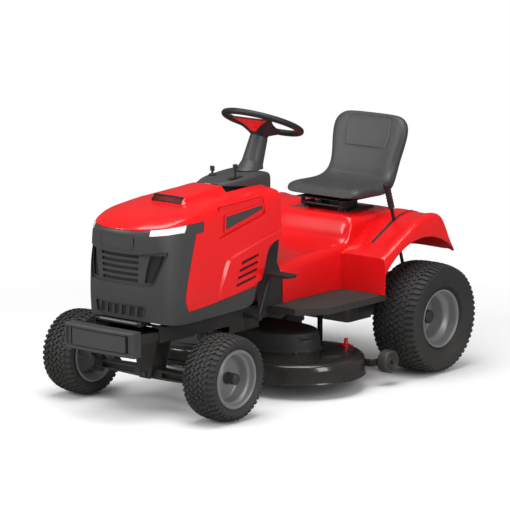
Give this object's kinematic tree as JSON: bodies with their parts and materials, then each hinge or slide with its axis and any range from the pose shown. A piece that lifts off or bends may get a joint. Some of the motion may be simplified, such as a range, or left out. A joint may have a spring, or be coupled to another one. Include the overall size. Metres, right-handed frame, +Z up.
{
  "type": "riding lawn mower",
  "caption": "Riding lawn mower with tilting hood, linked front steering, height-adjustable twin-blade side-discharge deck, pedals and a sliding, tilting seat.",
  "frame": {"origin": "on the ground, under the middle of the overall box", "axes": "+Z up, front towards -Y, driver left towards +X"},
  "size_m": [1.084, 1.756, 1.127],
  "materials": {
    "frame": "satin black powder coat",
    "zinc": "zinc plated",
    "grey_plastic": "satin dark grey",
    "black_plastic": "matt black",
    "cast_alloy": "as cast",
    "tank_plastic": "translucent white",
    "belt_rubber": "matt",
    "red_body": "gloss",
    "foot_rubber": "ribbed mat",
    "lamp_lens": "clear over white",
    "soft_black": "soft touch",
    "tyre": "matt rubber",
    "rim_silver": "silver grey",
    "deck_black": "gloss black",
    "blade_steel": "hardened",
    "seat_vinyl": "dark grey vinyl"
  },
  "bodies": {
    "chassis": {"frame_rails": "frame", "frame_brackets": "frame", "frame_pins": "zinc", "front_bumper": "grey_plastic", "battery": "black_plastic", "engine_block": "cast_alloy", "engine_shroud": "black_plastic", "muffler_and_filter": "frame", "fuel_tank": "tank_plastic", "traction_belt": "belt_rubber", "transaxle": "cast_alloy", "dash_tower": "black_plastic", "dash_console": "grey_plastic", "column_cover": "grey_plastic", "fender_body": "red_body", "seat_rails": "frame", "footboards": "foot_rubber"},
    "hood": {"hood_shell": "red_body", "nose_fascia": "grey_plastic", "headlamp_lenses": "lamp_lens", "hood_trims": "grey_plastic"},
    "front_axle_beam": {"front_axle": "frame"},
    "left_spindle": {"spindle_left": "frame"},
    "right_spindle": {"spindle_right": "frame"},
    "tie_rod_link": {"tie_rod": "zinc"},
    "drag_rod": {"drag_link": "zinc"},
    "sector": {"sector_gear": "zinc"},
    "lower_shaft": {"lower_steering_shaft": "zinc"},
    "steering_column": {"steering_shaft": "zinc", "steering_wheel": "soft_black", "steering_wheel_insert": "red_body"},
    "front_wheel_left": {"front_tyre_left": "tyre", "front_rim_left": "rim_silver"},
    "front_wheel_right": {"front_tyre_right": "tyre", "front_rim_right": "rim_silver"},
    "rear_wheel_left": {"rear_tyre_left": "tyre", "rear_rim_left": "rim_silver"},
    "rear_wheel_right": {"rear_tyre_right": "tyre", "rear_rim_right": "rim_silver"},
    "engine_crank": {"crankshaft": "zinc"},
    "drive_input": {"transaxle_input": "zinc"},
    "deck": {"deck_shell": "deck_black", "belt_cover": "deck_black", "deck_belt": "belt_rubber", "wash_port": "red_body", "spindle_housings": "cast_alloy"},
    "blade_left": {"blade_spindle_left": "blade_steel"},
    "blade_right": {"blade_spindle_right": "blade_steel"},
    "flap": {"discharge_flap": "black_plastic"},
    "roller_left": {"scalp_wheel_left": "black_plastic"},
    "roller_right": {"scalp_wheel_right": "black_plastic"},
    "lift_lever": {"height_lever": "frame", "lever_grip": "soft_black"},
    "brake": {"brake_pedal": "frame"},
    "drive": {"drive_pedal": "frame"},
    "seat_carriage": {"seat_slider": "frame"},
    "seat": {"seat_pan": "frame", "seat_cover": "seat_vinyl"},
    "throttle": {"throttle_lever": "black_plastic"},
    "key": {"ignition_key": "black_plastic"}
  },
  "joints": [
    {"name": "hood_tilt", "type": "hinge", "parent": "chassis", "child": "hood", "pos_m": [0, -0.743, 0.372], "axis": [1, 0, 0], "range_deg": [0, 55]},
    {"name": "axle_rock", "type": "hinge", "parent": "chassis", "child": "front_axle_beam", "pos_m": [0, -0.553, 0.138], "axis": [0, 1, 0], "range_deg": [-5, 5]},
    {"name": "kingpin_left_turn", "type": "hinge", "parent": "front_axle_beam", "child": "left_spindle", "pos_m": [0.275, -0.553, 0.17], "axis": [0, 0, 1], "range_deg": [-35, 35]},
    {"name": "kingpin_right_turn", "type": "hinge", "parent": "front_axle_beam", "child": "right_spindle", "pos_m": [-0.275, -0.553, 0.17], "axis": [0, 0, 1], "range_deg": [-35, 35]},
    {"name": "tie_rod_pivot", "type": "hinge", "parent": "left_spindle", "child": "tie_rod_link", "pos_m": [0.275, -0.463, 0.174], "axis": [0, 0, 1], "range_deg": [-35, 35]},
    {"name": "drag_link_pivot", "type": "hinge", "parent": "left_spindle", "child": "drag_rod", "pos_m": [0.275, -0.463, 0.204], "axis": [0, 0, 1], "range_deg": [-35, 35]},
    {"name": "sector_turn", "type": "hinge", "parent": "chassis", "child": "sector", "pos_m": [0, -0.241, 0.255], "axis": [0, 0, 1], "range_deg": [-35, 35]},
    {"name": "lower_shaft_turn", "type": "hinge", "parent": "chassis", "child": "lower_shaft", "pos_m": [0, -0.141, 0.255], "axis": [0, 0, 1], "range_deg": [-210, 210]},
    {"name": "steering_turn", "type": "hinge", "parent": "chassis", "child": "steering_column", "pos_m": [0, -0.141, 0.405], "axis": [0, 0.3827, 0.9239], "range_deg": [-210, 210]},
    {"name": "front_wheel_left_spin", "type": "hinge", "parent": "left_spindle", "child": "front_wheel_left", "pos_m": [0.3695, -0.553, 0.17], "axis": [1, 0, 0], "continuous": true},
    {"name": "front_wheel_right_spin", "type": "hinge", "parent": "right_spindle", "child": "front_wheel_right", "pos_m": [-0.3695, -0.553, 0.17], "axis": [1, 0, 0], "continuous": true},
    {"name": "rear_wheel_left_spin", "type": "hinge", "parent": "chassis", "child": "rear_wheel_left", "pos_m": [0.434, 0.647, 0.228], "axis": [1, 0, 0], "continuous": true},
    {"name": "rear_wheel_right_spin", "type": "hinge", "parent": "chassis", "child": "rear_wheel_right", "pos_m": [-0.434, 0.647, 0.228], "axis": [1, 0, 0], "continuous": true},
    {"name": "crank_spin", "type": "hinge", "parent": "chassis", "child": "engine_crank", "pos_m": [0, -0.408, 0.3], "axis": [0, 0, 1], "continuous": true},
    {"name": "drive_input_spin", "type": "hinge", "parent": "chassis", "child": "drive_input", "pos_m": [0, 0.572, 0.287], "axis": [0, 0, 1], "continuous": true},
    {"name": "lift_lever_turn", "type": "hinge", "parent": "chassis", "child": "lift_lever", "pos_m": [0.3, 0.715, 0.33], "axis": [1, 0, 0], "range_deg": [-11, 27]},
    {"name": "deck_lift", "type": "slide", "parent": "chassis", "child": "deck", "axis": [0, 0, 1], "range_m": [-0.0331, 0.0136]},
    {"name": "blade_left_spin", "type": "hinge", "parent": "deck", "child": "blade_left", "pos_m": [0.24, 0.082, 0.078], "axis": [0, 0, 1], "continuous": true},
    {"name": "blade_right_spin", "type": "hinge", "parent": "deck", "child": "blade_right", "pos_m": [-0.24, 0.082, 0.078], "axis": [0, 0, 1], "continuous": true},
    {"name": "flap_lift", "type": "hinge", "parent": "deck", "child": "flap", "pos_m": [-0.512, 0.082, 0.142], "axis": [0, 1, 0], "range_deg": [0, 70], "stiffness_Nm_per_rad": 0.8, "springref_deg": -17.19},
    {"name": "roller_left_spin", "type": "hinge", "parent": "deck", "child": "roller_left", "pos_m": [0.48, 0.332, 0.098], "axis": [1, 0, 0], "continuous": true},
    {"name": "roller_right_spin", "type": "hinge", "parent": "deck", "child": "roller_right", "pos_m": [-0.48, 0.332, 0.098], "axis": [1, 0, 0], "continuous": true},
    {"name": "brake_pedal_press", "type": "hinge", "parent": "chassis", "child": "brake", "pos_m": [0.24, -0.188, 0.33], "axis": [1, 0, 0], "range_deg": [0, 22], "stiffness_Nm_per_rad": 12, "springref_deg": -34.38},
    {"name": "drive_pedal_press", "type": "hinge", "parent": "chassis", "child": "drive", "pos_m": [-0.24, -0.188, 0.33], "axis": [1, 0, 0], "range_deg": [-10, 14], "stiffness_Nm_per_rad": 14},
    {"name": "seat_slide", "type": "slide", "parent": "chassis", "child": "seat_carriage", "axis": [0, 1, 0], "range_m": [-0.04, 0.04]},
    {"name": "seat_tilt", "type": "hinge", "parent": "seat_carriage", "child": "seat", "pos_m": [0, 0.517, 0.664], "axis": [1, 0, 0], "range_deg": [0, 70]},
    {"name": "throttle_move", "type": "hinge", "parent": "chassis", "child": "throttle", "pos_m": [0.06, -0.116, 0.856], "axis": [1, 0, 0], "range_deg": [-22, 22]},
    {"name": "key_turn", "type": "hinge", "parent": "chassis", "child": "key", "pos_m": [-0.06, -0.116, 0.87], "axis": [0, 0, 1], "range_deg": [-80, 0]}
  ],
  "couplings": [
    {"joint": "kingpin_right_turn", "follows": "kingpin_left_turn", "ratio": 1},
    {"joint": "tie_rod_pivot", "follows": "kingpin_left_turn", "ratio": -1},
    {"joint": "drag_link_pivot", "follows": "kingpin_left_turn", "ratio": -1},
    {"joint": "sector_turn", "follows": "kingpin_left_turn", "ratio": 1},
    {"joint": "lower_shaft_turn", "follows": "kingpin_left_turn", "ratio": 6},
    {"joint": "steering_turn", "follows": "kingpin_left_turn", "ratio": 6},
    {"joint": "drive_input_spin", "follows": "crank_spin", "ratio": 0.83333},
    {"joint": "deck_lift", "follows": "lift_lever_turn", "m_per_rad": -0.07},
    {"joint": "blade_right_spin", "follows": "blade_left_spin", "ratio": 1}
  ]
}
